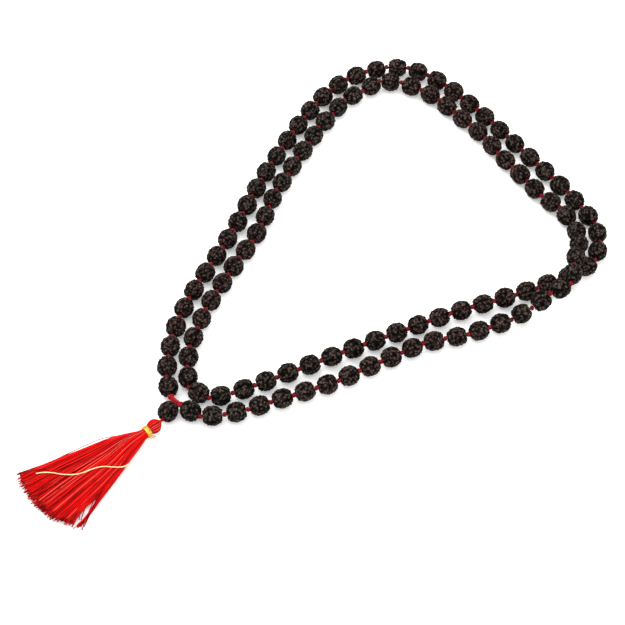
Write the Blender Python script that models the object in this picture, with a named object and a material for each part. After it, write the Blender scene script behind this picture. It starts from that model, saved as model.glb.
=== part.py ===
"""Mala: 108 rudraksha beads knotted on one red thread, laid down as a double loop,
with a guru bead and a silk tassel bound with gold thread.

Metres, +Z up. The mala lies flat on the plane z = 0, with the guru bead over the
origin. The thread runs twice round the loop, so most of it is a band of two strands
side by side. The band is cut into zones that hinge on pairs of knots; inside a zone
some beads are single pieces that turn on the bare thread, and the others are drawn
together with the thread that carries them.
"""
import math

import bmesh
import bpy
import numpy as np
from mathutils import Matrix

MM = 0.001

# ---- Driving dimensions ------------------------------------------------------------
BEAD_COUNT = 108
BEAD_DIAMETER = 8.0 * MM
END_FLAT_DEPTH = 0.4 * MM          # how far each end of the bore is worn flat
BELT_LENGTH = 2.4 * MM             # straight middle of a bead
KNOT_LENGTH = 1.4 * MM
KNOT_DIAMETER = 2.2 * MM
HINGE_KNOT_DIAMETER = 1.4 * MM     # round knot at the end of a zone
THREAD_DIAMETER = 1.0 * MM
BORE_CLEARANCE = 0.35 * MM         # all round, between thread and bore
GAP = 0.3 * MM                     # between pieces that touch
STRAND_GAP = 0.5 * MM              # between beads of strands that lie side by side
SIDES = 8                          # facets round a bead, one of them facing down

GURU_DIAMETER = 8.0 * MM
CORD_DIAMETER = 1.4 * MM           # the cord through the guru bead
BUNDLE_DIAMETER = 2.3 * MM         # the strand ends, laid together above the guru
BUNDLE_GAP = 0.1 * MM              # between them and the guru bead's shoulder
GURU_HEADING = math.radians(240)   # way the guru's bore points, away from the strand

TASSEL_HEADING = math.radians(223)
NECK_DIAMETER = 1.2 * MM
HEAD_DIAMETER = 5.6 * MM
HEAD_LENGTH = 4.9 * MM
BAND_DIAMETER = 4.9 * MM
BAND_WALL = 0.45 * MM
BAND_LENGTH = 2.4 * MM
SKIRT_LENGTH = 46.0 * MM           # from the band to the cut ends
SKIRT_WIDTH = 35.0 * MM            # across the cut ends
SKIRT_END_HEIGHT = 3.0 * MM
SKIRT_LIFT = 0.2 * MM              # the fan's underside over the resting plane
GOLD_DIAMETER = 0.5 * MM

# ---- Worked out from them ----------------------------------------------------------
BEAD_LENGTH = BEAD_DIAMETER - 2 * END_FLAT_DEPTH
PITCH = BEAD_LENGTH + KNOT_LENGTH + 2 * GAP
FACET = 2 / (1 + math.cos(math.pi / SIDES))    # corner radius over mean radius
SEAT = BEAD_DIAMETER / 2 * FACET * math.cos(math.pi / SIDES)    # bead centre height
GURU_HALF = GURU_DIAMETER / 2 - END_FLAT_DEPTH
GURU_SEAT = GURU_DIAMETER / 2 * FACET * math.cos(math.pi / SIDES)

# ---- Route of the thread -----------------------------------------------------------
# Points in plan, in millimetres, from the first knot beside the guru bead to the last.
# Only the shape counts: the route is scaled so that it holds BEAD_COUNT pitches.
ROUTE = [
    (-52.5, -37.5), (-55, -28), (-55.5, -17), (-51.5, -1.5), (-40.5, 19.5), (-31, 36.5),
    (-24.5, 54), (-12.5, 78), (2, 101.5), (11, 112.5), (22.5, 120), (33, 122),
    (43.5, 119.5), (55.5, 110.5), (75.5, 88.5), (93, 67), (105, 52), (111, 42),
    (112, 31.5), (108.5, 21.5), (101.5, 15.5), (86, 10.5), (64.5, 3.5), (48.5, -2),
    (31.5, -9.5), (6, -20.5), (-19, -31.5), (-35, -37.8), (-43.6, -36), (-47.2, -28),
    (-44, -10), (-36.5, 9.5), (-23, 35), (-12.5, 60), (1, 87), (10, 100),
    (19, 107.5), (29.5, 112.2), (40, 111.3), (51, 104.5), (65, 89.5), (79.5, 70),
    (92, 54), (101.5, 43.5), (105.7, 33.5), (105, 22.5), (99.5, 12), (92, 5),
    (80, -1.5), (60, -9.5), (42, -14.5), (24, -23), (8, -31), (-12, -38.5),
    (-27, -43.6), (-37.5, -45), (-44.5, -43.6), (-48.6, -41),
]
CORNER_POINT = 28          # the thread turns back past the guru here
CORNER_SHARE = 54.5 / 108  # share of the beads that come before that turn
CROSSING_POINT = 46        # the second winding passes over the first here
CROSSING_LIFT = 0.98       # rise of the upper strand, in bead diameters
CROSSING_FLAT = 0.8        # pitches that stay fully raised, each way
CROSSING_RISE = 2.6        # pitches that the strand takes to come down

# ---- Zones: parent, the runs of beads they hold, and the knots they hinge on --------
ZONES = {
    "root": (None, ((0, 4), (52, 58), (104, 108)), None),
    "left_low": ("root", ((4, 10), (58, 64)), (4, 58)),
    "left_mid": ("left_low", ((10, 16), (64, 70)), (10, 64)),
    "left_top": ("left_mid", ((16, 22), (70, 75)), (16, 70)),
    "bottom_near": ("root", ((47, 52), (99, 104)), (52, 104)),
    "bottom_far": ("bottom_near", ((41, 47), (93, 99)), (47, 99)),
    "crossing": ("bottom_far", ((34, 41), (86, 93)), (41, 93)),
    "right_low": ("crossing", ((29, 34), (82, 86)), (34, 86)),
    "right_top": ("right_low", ((22, 29), (75, 82)), (29, 82)),
}
# Beads that are single pieces, by how many beads their run holds.
FREE_BEADS = {4: (1,), 5: (1, 3), 6: (1, 4), 7: (1, 3, 5)}
ALL_FIXED = ("crossing",)  # zones whose beads all stay with their thread

# ---- Gold thread over the skirt: distance from the neck in mm, and angle round the
# skirt's section, from 0 at its near edge over 90 on top to 180 at its far edge.
GOLD_ROUTE = [
    (19.9, -12), (21.1, 6), (22.7, 22), (24.5, 41), (26.5, 60), (28.7, 77), (30.9, 86),
    (33.3, 91), (35.7, 94), (38.1, 99), (40.3, 106), (42.5, 116), (44.6, 128),
    (46.8, 137), (48.9, 142),
]


# ---- Helpers -----------------------------------------------------------------------
def clear_scene():
    for obj in list(bpy.data.objects):
        bpy.data.objects.remove(obj, do_unlink=True)


def material(name, colour, roughness, metallic=0.0):
    """A plain Principled material."""
    mat = bpy.data.materials.new(name)
    mat.use_nodes = True
    shader = mat.node_tree.nodes["Principled BSDF"]
    shader.inputs["Base Color"].default_value = (*colour, 1)
    shader.inputs["Roughness"].default_value = roughness
    shader.inputs["Metallic"].default_value = metallic
    mat.diffuse_color = (*colour, 1)
    return mat


def smooth_curve(points, steps):
    """A Catmull-Rom curve through the points, as rows of a numpy array."""
    p = np.array(points, float)
    p = np.vstack([2 * p[0] - p[1], p, 2 * p[-1] - p[-2]])
    t = np.linspace(0, 1, steps, endpoint=False)[:, None]
    spans = []
    for a, b, c, d in zip(p[:-3], p[1:-2], p[2:-1], p[3:]):
        cubic = (3 * b - a - 3 * c + d) * t ** 3 + (2 * a - 5 * b + 4 * c - d) * t ** 2
        spans.append(0.5 * (2 * b + (c - a) * t + cubic))
    return np.vstack(spans + [p[-2:-1]])


def lengths_along(line):
    steps = np.linalg.norm(np.diff(line, axis=0), axis=1)
    return np.concatenate([[0], np.cumsum(steps)])


def unit(v):
    return v / np.linalg.norm(v)


def frame_on(axis):
    """Two directions square to an axis: one level, and one as near up as can be."""
    side = unit(np.cross((0, 0, 1), axis))
    return side, np.cross(axis, side)


# ---- Layout of the strand ----------------------------------------------------------
def push_beads_apart(xy, z, guru, steps=600):
    """Settle the knots: each pitch keeps its length and no two beads touch."""
    home = xy.copy()
    order = np.arange(BEAD_COUNT)
    neighbours = np.abs(order[:, None] - order[None]) <= 1
    height = (z[1:] + z[:-1]) / 2
    spacing = BEAD_DIAMETER + STRAND_GAP
    level_gap = height[:, None] - height[None]
    need = np.sqrt(np.clip(spacing ** 2 - level_gap ** 2, 0, None))
    guru_need = (BEAD_DIAMETER + GURU_DIAMETER) / 2 + STRAND_GAP
    chord = np.sqrt(PITCH ** 2 - np.diff(z) ** 2)
    free = np.ones(BEAD_COUNT + 1)
    free[[0, -1]] = 0
    for step in range(steps):
        if step < 0.8 * steps:
            xy += 0.02 * (home - xy)
            xy[1:-1] += 0.04 * ((xy[:-2] + xy[2:]) / 2 - xy[1:-1])
        middle = (xy[1:] + xy[:-1]) / 2
        away = middle[:, None] - middle[None]
        distance = np.linalg.norm(away, axis=2) + 1e-12
        push = np.where(neighbours, 0, np.clip(need - distance, 0, None))
        move = (away / distance[..., None] * push[..., None]).sum(1) / 2
        from_guru = middle - guru
        reach = np.linalg.norm(from_guru, axis=1)
        move += from_guru * (np.clip(guru_need - reach, 0, None) / reach)[:, None]
        xy[1:-1] += 0.45 * (move[1:] + move[:-1])
        for first in (0, 1):
            a = np.arange(first, BEAD_COUNT, 2)
            b = a + 1
            span = xy[b] - xy[a]
            length = np.linalg.norm(span, axis=1)
            fix = span * ((length - chord[a]) / length / (free[a] + free[b]))[:, None]
            xy[a] += fix * free[a][:, None]
            xy[b] -= fix * free[b][:, None]
    return xy


def guru_centre(first, last):
    """Where the guru bead lies, clear of the bundle between the strand's two ends."""
    heading = np.array([math.cos(GURU_HEADING), math.sin(GURU_HEADING)])
    half = (first - last) / 2
    lean = abs(half @ heading)
    clear = (GURU_DIAMETER + BUNDLE_DIAMETER) / 2 * FACET + BUNDLE_GAP
    reach = lean + math.sqrt(max(0.0, clear ** 2 - half @ half + lean ** 2))
    return (first + last) / 2 + heading * max(reach, GURU_HALF + GAP + BUNDLE_DIAMETER / 2)


def lay_strand():
    """Knot centres of the whole strand, and the guru bead's centre, over the origin."""
    steps = 24
    line = smooth_curve(ROUTE, steps)
    run = lengths_along(line)
    scale = BEAD_COUNT * PITCH / run[-1]
    corner = run[CORNER_POINT * steps]
    knots_at = np.interp(np.arange(BEAD_COUNT + 1),
                         [0, CORNER_SHARE * BEAD_COUNT, BEAD_COUNT], [0, corner, run[-1]])
    xy = np.stack([np.interp(knots_at, run, line[:, k]) for k in (0, 1)], 1) * scale
    crossing = np.interp(run[CROSSING_POINT * steps], knots_at, np.arange(BEAD_COUNT + 1))
    off = np.abs(np.arange(BEAD_COUNT + 1) - crossing)
    rise = np.clip((CROSSING_FLAT + CROSSING_RISE - off) / CROSSING_RISE, 0, 1)
    z = SEAT + CROSSING_LIFT * BEAD_DIAMETER * (3 * rise ** 2 - 2 * rise ** 3)
    guru = guru_centre(xy[0], xy[-1])
    xy = push_beads_apart(xy, z, guru) - guru
    return np.column_stack([xy, z]), np.array([0, 0, GURU_SEAT])


# ---- Solids ------------------------------------------------------------------------
def solid_of_rings(name, rings, ring_to_ring=False):
    """A mesh skinned over rings of points; its ends are capped, or joined to each other."""
    bm = bmesh.new()
    loops = [[bm.verts.new(p) for p in ring] for ring in rings]
    pairs = list(zip(loops[:-1], loops[1:]))
    if ring_to_ring:
        pairs.append((loops[-1], loops[0]))
    else:
        bm.faces.new(loops[0])
        bm.faces.new(loops[-1])
    for a, b in pairs:
        for i in range(len(a)):
            j = (i + 1) % len(a)
            bm.faces.new((a[i], a[j], b[j], b[i]))
    bmesh.ops.recalc_face_normals(bm, faces=bm.faces)
    mesh = bpy.data.meshes.new(name)
    bm.to_mesh(mesh)
    bm.free()
    mesh.shade_smooth()
    mesh.set_sharp_from_angle(angle=math.radians(50))
    return mesh


def ring(centre, axis, radius, sides=SIDES):
    """One ring of points round an axis, with a facet, not a corner, facing down."""
    side, up = frame_on(axis)
    turns = (np.arange(sides) + 0.5) * 2 * math.pi / sides
    return [centre + radius * (math.cos(t) * side + math.sin(t) * up) for t in turns]


def turned(profile, sides=SIDES):
    """Rings of a shape turned round the X axis, from (x, radius) pairs."""
    axis = np.array([1.0, 0, 0])
    return [ring(axis * x, axis, r, sides) for x, r in profile]


def add(name, data, mat, parent=None, location=(0, 0, 0), turn=None):
    """Put an object into the scene under its parent."""
    obj = bpy.data.objects.new(name, data)
    bpy.context.scene.collection.objects.link(obj)
    data.materials.clear()
    data.materials.append(mat)
    obj.parent = parent
    obj.location = location
    if turn is not None:
        obj.rotation_euler = turn
    return obj


def pivot(name, parent, location, turn=(0, 0, 0)):
    """An empty at the centre of a joint."""
    empty = bpy.data.objects.new(name, None)
    bpy.context.scene.collection.objects.link(empty)
    empty.empty_display_size = BEAD_DIAMETER
    empty.parent = parent
    empty.location = location
    empty.rotation_euler = turn
    return empty


def bead_profile(diameter):
    """Outer profile of a bead along its bore: (x, corner radius) pairs."""
    half = diameter / 2 - END_FLAT_DEPTH
    radius = diameter / 2
    end = math.sqrt(radius ** 2 - half ** 2)
    belt = BELT_LENGTH / 2
    return [(-half, end * FACET), (-belt, radius * FACET),
            (belt, radius * FACET), (half, end * FACET)]


def bored_bead(name, diameter, bore_radius):
    """A bead with its bore along X."""
    outer = bead_profile(diameter)
    half = outer[-1][0]
    profile = outer + [(half, bore_radius), (-half, bore_radius)]
    return solid_of_rings(name, turned(profile), ring_to_ring=True)


def run_rings(knots, first, last, free):
    """Rings of one run: the thread, its knots and the beads that stay with it."""
    knot_half = KNOT_LENGTH / 2
    knot_at = PITCH / 2 - knot_half
    knot_radius = KNOT_DIAMETER / 2
    rings = []
    for bead in range(first, last):
        centre = (knots[bead] + knots[bead + 1]) / 2
        axis = unit(knots[bead + 1] - knots[bead])
        if bead in free:
            thread = THREAD_DIAMETER / 2
            body = [(-knot_at, thread), (knot_at, thread)]
        else:
            body = bead_profile(BEAD_DIAMETER)
        before = [(-knot_at, knot_radius)] if bead > first else []
        after = [(knot_at, knot_radius)] if bead < last - 1 else []
        if bead == last - 1 and last < BEAD_COUNT:
            after = round_knot(PITCH / 2)
        rings += [ring(centre + axis * x, axis, r) for x, r in before + body + after]
    return rings


def round_knot(centre):
    """Profile of the thread and the round knot that a zone's last bead ends in."""
    radius = HINGE_KNOT_DIAMETER / 2
    thread = 0.64 * radius
    face = BEAD_LENGTH / 2
    reach = math.sqrt(radius ** 2 - thread ** 2)
    tip = 0.37 * radius
    tip_reach = math.sqrt(radius ** 2 - tip ** 2)
    return [(face, thread), (centre - reach, thread), (centre, radius),
            (centre + 0.66 * radius, 0.75 * radius), (centre + tip_reach, tip)]


# ---- The strand --------------------------------------------------------------------
def hinge_of(zone, knots):
    """Centre and level axis of a zone's hinge; a positive turn lifts the zone."""
    parent, runs, (one, two) = ZONES[zone]
    centre = (knots[one] + knots[two]) / 2
    across = unit(knots[two] - knots[one])
    beads = np.concatenate([knots[a:b + 1] for a, b in runs])
    out = beads.mean(0) - centre
    if np.cross(across, out)[2] < 0:
        across = -across
    return centre, across


def free_beads(zone, first, last):
    """Beads of a run that are single pieces."""
    if zone in ALL_FIXED:
        return []
    return [first + place for place in FREE_BEADS[last - first]]


def build_strand(knots, wood):
    """All zones: their pivots, their runs of thread and beads, and the single beads."""
    bore = THREAD_DIAMETER / 2 + BORE_CLEARANCE
    bead_mesh = bored_bead("rudraksha_bead", BEAD_DIAMETER, bore * FACET)
    places = {"root": np.zeros(3)}
    empties = {"root": None}
    for zone, (parent, runs, hinge) in ZONES.items():
        if hinge:
            centre, across = hinge_of(zone, knots)
            places[zone] = centre
            empties[zone] = pivot("pivot_" + zone, empties[parent], centre - places[parent])
        for first, last in runs:
            free = free_beads(zone, first, last)
            rings = run_rings(knots, first, last, free)
            rings = [[p - places[zone] for p in points] for points in rings]
            name = "strand_%03d_%03d" % (first + 1, last)
            add(name, solid_of_rings(name, rings), wood, empties[zone])
            for bead in free:
                centre = (knots[bead] + knots[bead + 1]) / 2
                axis = unit(knots[bead + 1] - knots[bead])
                side, up = frame_on(axis)
                turn = Matrix(np.column_stack([axis, side, up]).tolist()).to_euler()
                add("bead_%03d" % (bead + 1), bead_mesh, wood, empties[zone],
                    centre - places[zone], turn)


# ---- Guru bead and its cords -------------------------------------------------------
def build_guru(knots, guru, wood, thread_mat):
    """The guru bead, the cord in its bore and the bundle of strand ends above it."""
    turn = (0, 0, GURU_HEADING)
    bore = CORD_DIAMETER / 2 + BORE_CLEARANCE
    add("guru_bead", bored_bead("guru_bead", GURU_DIAMETER, bore * FACET), wood,
        None, guru, turn)
    cord = turned([(-GURU_HALF, CORD_DIAMETER / 2), (GURU_HALF, CORD_DIAMETER / 2)])
    add("guru_cord", solid_of_rings("guru_cord", cord), thread_mat, None, guru, turn)

    heading = np.array([math.cos(GURU_HEADING), math.sin(GURU_HEADING), 0])
    mouth = guru - heading * (GURU_HALF + GAP + BUNDLE_DIAMETER / 2)
    start = knots[0] + unit(knots[1] - knots[0]) * KNOT_LENGTH / 2
    end = knots[-1] + unit(knots[-2] - knots[-1]) * KNOT_LENGTH / 2
    radius = BUNDLE_DIAMETER / 2
    line = smooth_curve([start, knots[0], mouth, knots[-1], end], 3)
    rings = []
    for i, point in enumerate(line):
        ahead = line[min(i + 1, len(line) - 1)] - line[max(i - 1, 0)]
        if i == 0:
            ahead = knots[0] - knots[1]
        if i == len(line) - 1:
            ahead = knots[-2] - knots[-1]
        rings.append(ring(point, unit(ahead), radius))
    add("strand_end_bundle", solid_of_rings("strand_end_bundle", rings), thread_mat)


# ---- Tassel ------------------------------------------------------------------------
HEAD_START = NECK_DIAMETER / 2 + GAP
HEAD_END = HEAD_START + HEAD_LENGTH
BAND_START = HEAD_END + GAP
SKIRT_START = BAND_START
SKIRT_FAN = BAND_START + BAND_LENGTH + GAP     # where the skirt leaves the band
SKIRT_END = SKIRT_FAN + SKIRT_LENGTH
STUB_RADIUS = BAND_DIAMETER / 2 - BAND_WALL - GAP


def skirt_section(x):
    """Half width, half height and centre height of the skirt, x from the neck."""
    share = max(0.0, (x - SKIRT_FAN) / SKIRT_LENGTH)
    swell = share ** 0.93
    half_width = STUB_RADIUS + (SKIRT_WIDTH / 2 - STUB_RADIUS) * swell
    half_height = STUB_RADIUS + 0.9 * MM * math.sin(math.pi * min(1.0, share * 3.2))
    half_height += (SKIRT_END_HEIGHT / 2 - STUB_RADIUS) * share
    drop = min(1.0, share / 0.55)
    drop = drop * drop * (3 - 2 * drop)
    centre = (half_height + SKIRT_LIFT - GURU_SEAT) * drop
    return half_width, half_height, centre


def skirt_shift(x):
    """The fan lies a little to its far side."""
    share = max(0.0, (x - SKIRT_FAN) / SKIRT_LENGTH)
    return -2.6 * MM * math.sin(math.pi / 2 * share)


def skirt_point(x, angle, lift=0.0):
    """A point on the skirt's section, or off it by a distance."""
    half_width, half_height, centre = skirt_section(x)
    return (x, skirt_shift(x) + (half_width + lift) * math.cos(angle),
            centre + (half_height + lift) * math.sin(angle))


def build_tassel(guru, silk, gold):
    """Neck, head, gold band, skirt and the loose gold thread, hung from the guru."""
    heading = np.array([math.cos(GURU_HEADING), math.sin(GURU_HEADING), 0])
    neck_at = guru + heading * (GURU_HALF + GAP + NECK_DIAMETER / 2)
    swing = pivot("pivot_tassel_swing", None, neck_at, (0, 0, TASSEL_HEADING))
    lift = pivot("pivot_tassel_lift", swing, (0, 0, 0))

    neck = [(math.cos(t) * -NECK_DIAMETER / 2, math.sin(t) * NECK_DIAMETER / 2)
            for t in (0.35, math.pi / 4, math.pi / 2, 3 * math.pi / 4, math.pi - 0.35)]
    add("tassel_neck", solid_of_rings("tassel_neck", turned(neck)), silk, swing)

    head = []
    for t in (0.3, 0.8, 1.3, 1.8, 2.3):
        head.append((HEAD_START + HEAD_LENGTH * (1 - math.cos(t)) / (1 - math.cos(2.3)),
                     HEAD_DIAMETER / 2 * math.sin(t)))
    head.insert(0, (HEAD_START, HEAD_DIAMETER / 2 * 0.2))
    head = [(x, r) for x, r in head if x >= HEAD_START]
    add("tassel_head", solid_of_rings("tassel_head", turned(head, 12)), silk, lift)

    outer = BAND_DIAMETER / 2
    inner = outer - BAND_WALL
    ends = (BAND_START, BAND_START + BAND_LENGTH)
    band = [(ends[0], inner), (ends[0], outer), (ends[1], outer), (ends[1], inner)]
    band_mesh = solid_of_rings("gold_band", turned(band, 16), ring_to_ring=True)
    add("gold_band", band_mesh, gold, lift)

    rings = []
    shares = (0, 0.04, 0.1, 0.2, 0.32, 0.48, 0.66, 0.84, 1)
    stations = [SKIRT_START] + [SKIRT_FAN + SKIRT_LENGTH * s for s in shares]
    for x in stations:
        turns = [(k + 0.5) * 2 * math.pi / 16 for k in range(16)]
        rings.append([skirt_point(x, t) for t in turns])
    add("tassel_skirt", solid_of_rings("tassel_skirt", rings), silk, lift)

    off = GAP + GOLD_DIAMETER / 2
    route = [skirt_point(x * MM, math.radians(t), off) for x, t in GOLD_ROUTE]
    line = smooth_curve(route, 8)
    along = lengths_along(line)
    count = int(along[-1] / (2.5 * GOLD_DIAMETER))
    at = np.linspace(0, along[-1], count + 1)
    points = np.stack([np.interp(at, along, line[:, k]) for k in range(3)], 1)
    curve = bpy.data.curves.new("gold_thread", "CURVE")
    curve.dimensions = "3D"
    curve.bevel_depth = GOLD_DIAMETER / 2
    curve.bevel_resolution = 2
    curve.use_fill_caps = True
    spline = curve.splines.new("POLY")
    spline.points.add(len(points) - 1)
    for spot, point in zip(spline.points, points):
        spot.co = (*point, 1)
    add("gold_thread", curve, gold, lift)


def main():
    clear_scene()
    wood = material("rudraksha", (0.045, 0.025, 0.02), 0.75)
    thread_mat = material("red_thread", (0.35, 0.01, 0.015), 0.7)
    silk = material("red_silk", (0.75, 0.01, 0.01), 0.45)
    gold = material("gold_thread", (0.85, 0.6, 0.12), 0.35, 0.6)
    knots, guru = lay_strand()
    build_strand(knots, wood)
    build_guru(knots, guru, wood, thread_mat)
    build_tassel(guru, silk, gold)
    bpy.context.view_layer.update()


main()
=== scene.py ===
import math

import bpy
import numpy as np
from mathutils import Matrix, Vector


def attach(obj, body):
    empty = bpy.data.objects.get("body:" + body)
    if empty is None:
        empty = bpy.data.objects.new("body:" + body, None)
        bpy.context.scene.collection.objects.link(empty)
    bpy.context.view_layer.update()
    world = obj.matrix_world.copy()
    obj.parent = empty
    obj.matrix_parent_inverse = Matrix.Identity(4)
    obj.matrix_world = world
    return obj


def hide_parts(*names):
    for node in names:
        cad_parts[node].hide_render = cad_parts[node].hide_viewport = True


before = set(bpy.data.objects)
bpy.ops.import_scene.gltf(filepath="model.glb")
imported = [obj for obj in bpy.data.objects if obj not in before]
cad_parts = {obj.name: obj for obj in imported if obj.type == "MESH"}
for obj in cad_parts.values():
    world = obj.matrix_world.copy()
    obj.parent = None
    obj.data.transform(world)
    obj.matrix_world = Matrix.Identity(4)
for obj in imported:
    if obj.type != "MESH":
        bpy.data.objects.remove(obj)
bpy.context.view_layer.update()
MM = 0.001

# ---- Sizes, the same as the solid model's --------------------------------------------
BEAD_COUNT = 108
BEAD_DIAMETER = 8.0 * MM
END_FLAT_DEPTH = 0.4 * MM
KNOT_LENGTH = 1.4 * MM
KNOT_DIAMETER = 2.2 * MM
THREAD_DIAMETER = 1.0 * MM
BORE_CLEARANCE = 0.35 * MM
GAP = 0.3 * MM
STRAND_GAP = 0.5 * MM
SIDES = 8
GURU_DIAMETER = 8.0 * MM
CORD_DIAMETER = 1.4 * MM
BUNDLE_DIAMETER = 2.3 * MM
BUNDLE_GAP = 0.1 * MM
GURU_HEADING = math.radians(240)
TASSEL_HEADING = math.radians(223)
NECK_DIAMETER = 1.2 * MM
HEAD_DIAMETER = 5.6 * MM
HEAD_LENGTH = 4.9 * MM
BAND_DIAMETER = 4.9 * MM
BAND_WALL = 0.45 * MM
BAND_LENGTH = 2.4 * MM
SKIRT_LENGTH = 46.0 * MM
SKIRT_WIDTH = 35.0 * MM
SKIRT_END_HEIGHT = 3.0 * MM
SKIRT_LIFT = 0.2 * MM
GOLD_DIAMETER = 0.5 * MM

BEAD_LENGTH = BEAD_DIAMETER - 2 * END_FLAT_DEPTH
PITCH = BEAD_LENGTH + KNOT_LENGTH + 2 * GAP
FACET = 2 / (1 + math.cos(math.pi / SIDES))
SEAT = BEAD_DIAMETER / 2 * FACET * math.cos(math.pi / SIDES)
GURU_HALF = GURU_DIAMETER / 2 - END_FLAT_DEPTH
GURU_SEAT = GURU_DIAMETER / 2 * FACET * math.cos(math.pi / SIDES)
HEAD_START = NECK_DIAMETER / 2 + GAP
HEAD_END = HEAD_START + HEAD_LENGTH
BAND_START = HEAD_END + GAP
SKIRT_FAN = BAND_START + BAND_LENGTH + GAP
STUB_RADIUS = BAND_DIAMETER / 2 - BAND_WALL - GAP

ROUTE = [
    (-52.5, -37.5), (-55, -28), (-55.5, -17), (-51.5, -1.5), (-40.5, 19.5), (-31, 36.5),
    (-24.5, 54), (-12.5, 78), (2, 101.5), (11, 112.5), (22.5, 120), (33, 122),
    (43.5, 119.5), (55.5, 110.5), (75.5, 88.5), (93, 67), (105, 52), (111, 42),
    (112, 31.5), (108.5, 21.5), (101.5, 15.5), (86, 10.5), (64.5, 3.5), (48.5, -2),
    (31.5, -9.5), (6, -20.5), (-19, -31.5), (-35, -37.8), (-43.6, -36), (-47.2, -28),
    (-44, -10), (-36.5, 9.5), (-23, 35), (-12.5, 60), (1, 87), (10, 100),
    (19, 107.5), (29.5, 112.2), (40, 111.3), (51, 104.5), (65, 89.5), (79.5, 70),
    (92, 54), (101.5, 43.5), (105.7, 33.5), (105, 22.5), (99.5, 12), (92, 5),
    (80, -1.5), (60, -9.5), (42, -14.5), (24, -23), (8, -31), (-12, -38.5),
    (-27, -43.6), (-37.5, -45), (-44.5, -43.6), (-48.6, -41),
]
CORNER_POINT = 28
CORNER_SHARE = 54.5 / 108
CROSSING_POINT = 46
CROSSING_LIFT = 0.98
CROSSING_FLAT = 0.8
CROSSING_RISE = 2.6

# Each body of the strand: the runs of beads that it holds.
RUNS = {
    "corner_zone": ((0, 4), (52, 58), (104, 108)),
    "left_low_zone": ((4, 10), (58, 64)),
    "left_mid_zone": ((10, 16), (64, 70)),
    "left_top_zone": ((16, 22), (70, 75)),
    "bottom_near_zone": ((47, 52), (99, 104)),
    "bottom_far_zone": ((41, 47), (93, 99)),
    "crossing_zone": ((34, 41), (86, 93)),
    "right_low_zone": ((29, 34), (82, 86)),
    "right_top_zone": ((22, 29), (75, 82)),
}
FREE_BEADS = {4: (1,), 5: (1, 3), 6: (1, 4), 7: (1, 3, 5)}

# The loose gold thread: mm from the neck, and angle round the skirt's section.
GOLD_ROUTE = [
    (19.9, -12), (21.1, 6), (22.7, 22), (24.5, 41), (26.5, 60), (28.7, 77), (30.9, 86),
    (33.3, 91), (35.7, 94), (38.1, 99), (40.3, 106), (42.5, 116), (44.6, 128),
    (46.8, 137), (48.9, 142),
]

# ---- Finish sizes --------------------------------------------------------------------
WART_SIZE = 0.92 * MM          # from one wart to the next
WART_HEIGHT = 0.70 * MM
CLEFTS = 5                     # a seed's seams run from end to end
SEED_BODY = 0.90               # the seed under its warts, as a share of the bead
SEED_BODY_LONG = 1.04          # and its length, which each end's hollow is cut into
HOLLOW_DEPTH = 0.42 * MM       # a knot half hides in it
HOLLOW_WIDTH = 2.5 * MM
SEED_ROUND, SEED_LONG = 84, 58
TWIST = 2 * math.pi / (2.6 * MM)
SEED_TURN = 2.39996            # between one seed and the next, so that none look alike
STRAND_KNOT_CORD = 0.36 * MM   # radius of the thread that a knot is tied from
END_KNOT_CORD = 0.42 * MM
PLIES = 5                      # strand ends in the bundle above the guru bead
SKIRT_THREADS = 1050
SKIRT_STRAYS = 14              # of them, that lie loose along the two edges
SKIRT_THREAD_RADIUS = 0.2 * MM
SKIRT_SPREAD = 0.93            # power that the skirt's width grows with
SKIRT_SWELL = 0.9 * MM         # under the binding
SKIRT_DROP = 0.55              # share of its length over which it comes down
SKIRT_LEAN = -2.6 * MM         # of its cut ends, to the far side
SKIRT_LONGEST = -0.23          # where the longest threads lie, from edge (-1) to edge (1)
SKIRT_OVER = 1.0 * MM          # by how much they pass the solid skirt
SKIRT_ROUNDING = 4.3 * MM      # how fast the threads get shorter away from there
PARTING = 0.80                 # where a few threads part and leave a long gap
HEAD_THREADS = 120
HEAD_SWEEP = 2.3               # angle that the head's outline turns through
GOLD_LIFT = 0.05 * MM          # of the loose gold thread, over the silk
FLOOR_HEIGHT = -0.32 * MM      # the seeds' warts reach a little under the solid beads


# ---- Layout of the strand ------------------------------------------------------------
def smooth_curve(points, steps):
    """A Catmull-Rom curve through the points."""
    p = np.array(points, float)
    p = np.vstack([2 * p[0] - p[1], p, 2 * p[-1] - p[-2]])
    t = np.linspace(0, 1, steps, endpoint=False)[:, None]
    spans = []
    for a, b, c, d in zip(p[:-3], p[1:-2], p[2:-1], p[3:]):
        cubic = (3 * b - a - 3 * c + d) * t ** 3 + (2 * a - 5 * b + 4 * c - d) * t ** 2
        spans.append(0.5 * (2 * b + (c - a) * t + cubic))
    return np.vstack(spans + [p[-2:-1]])


def lengths_along(line):
    steps = np.linalg.norm(np.diff(line, axis=0), axis=1)
    return np.concatenate([[0], np.cumsum(steps)])


def unit(v):
    return v / np.linalg.norm(v)


def frame_on(axis):
    """Two directions square to an axis: one level, and one as near up as can be."""
    side = unit(np.cross((0, 0, 1), axis))
    return side, np.cross(axis, side)


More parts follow.
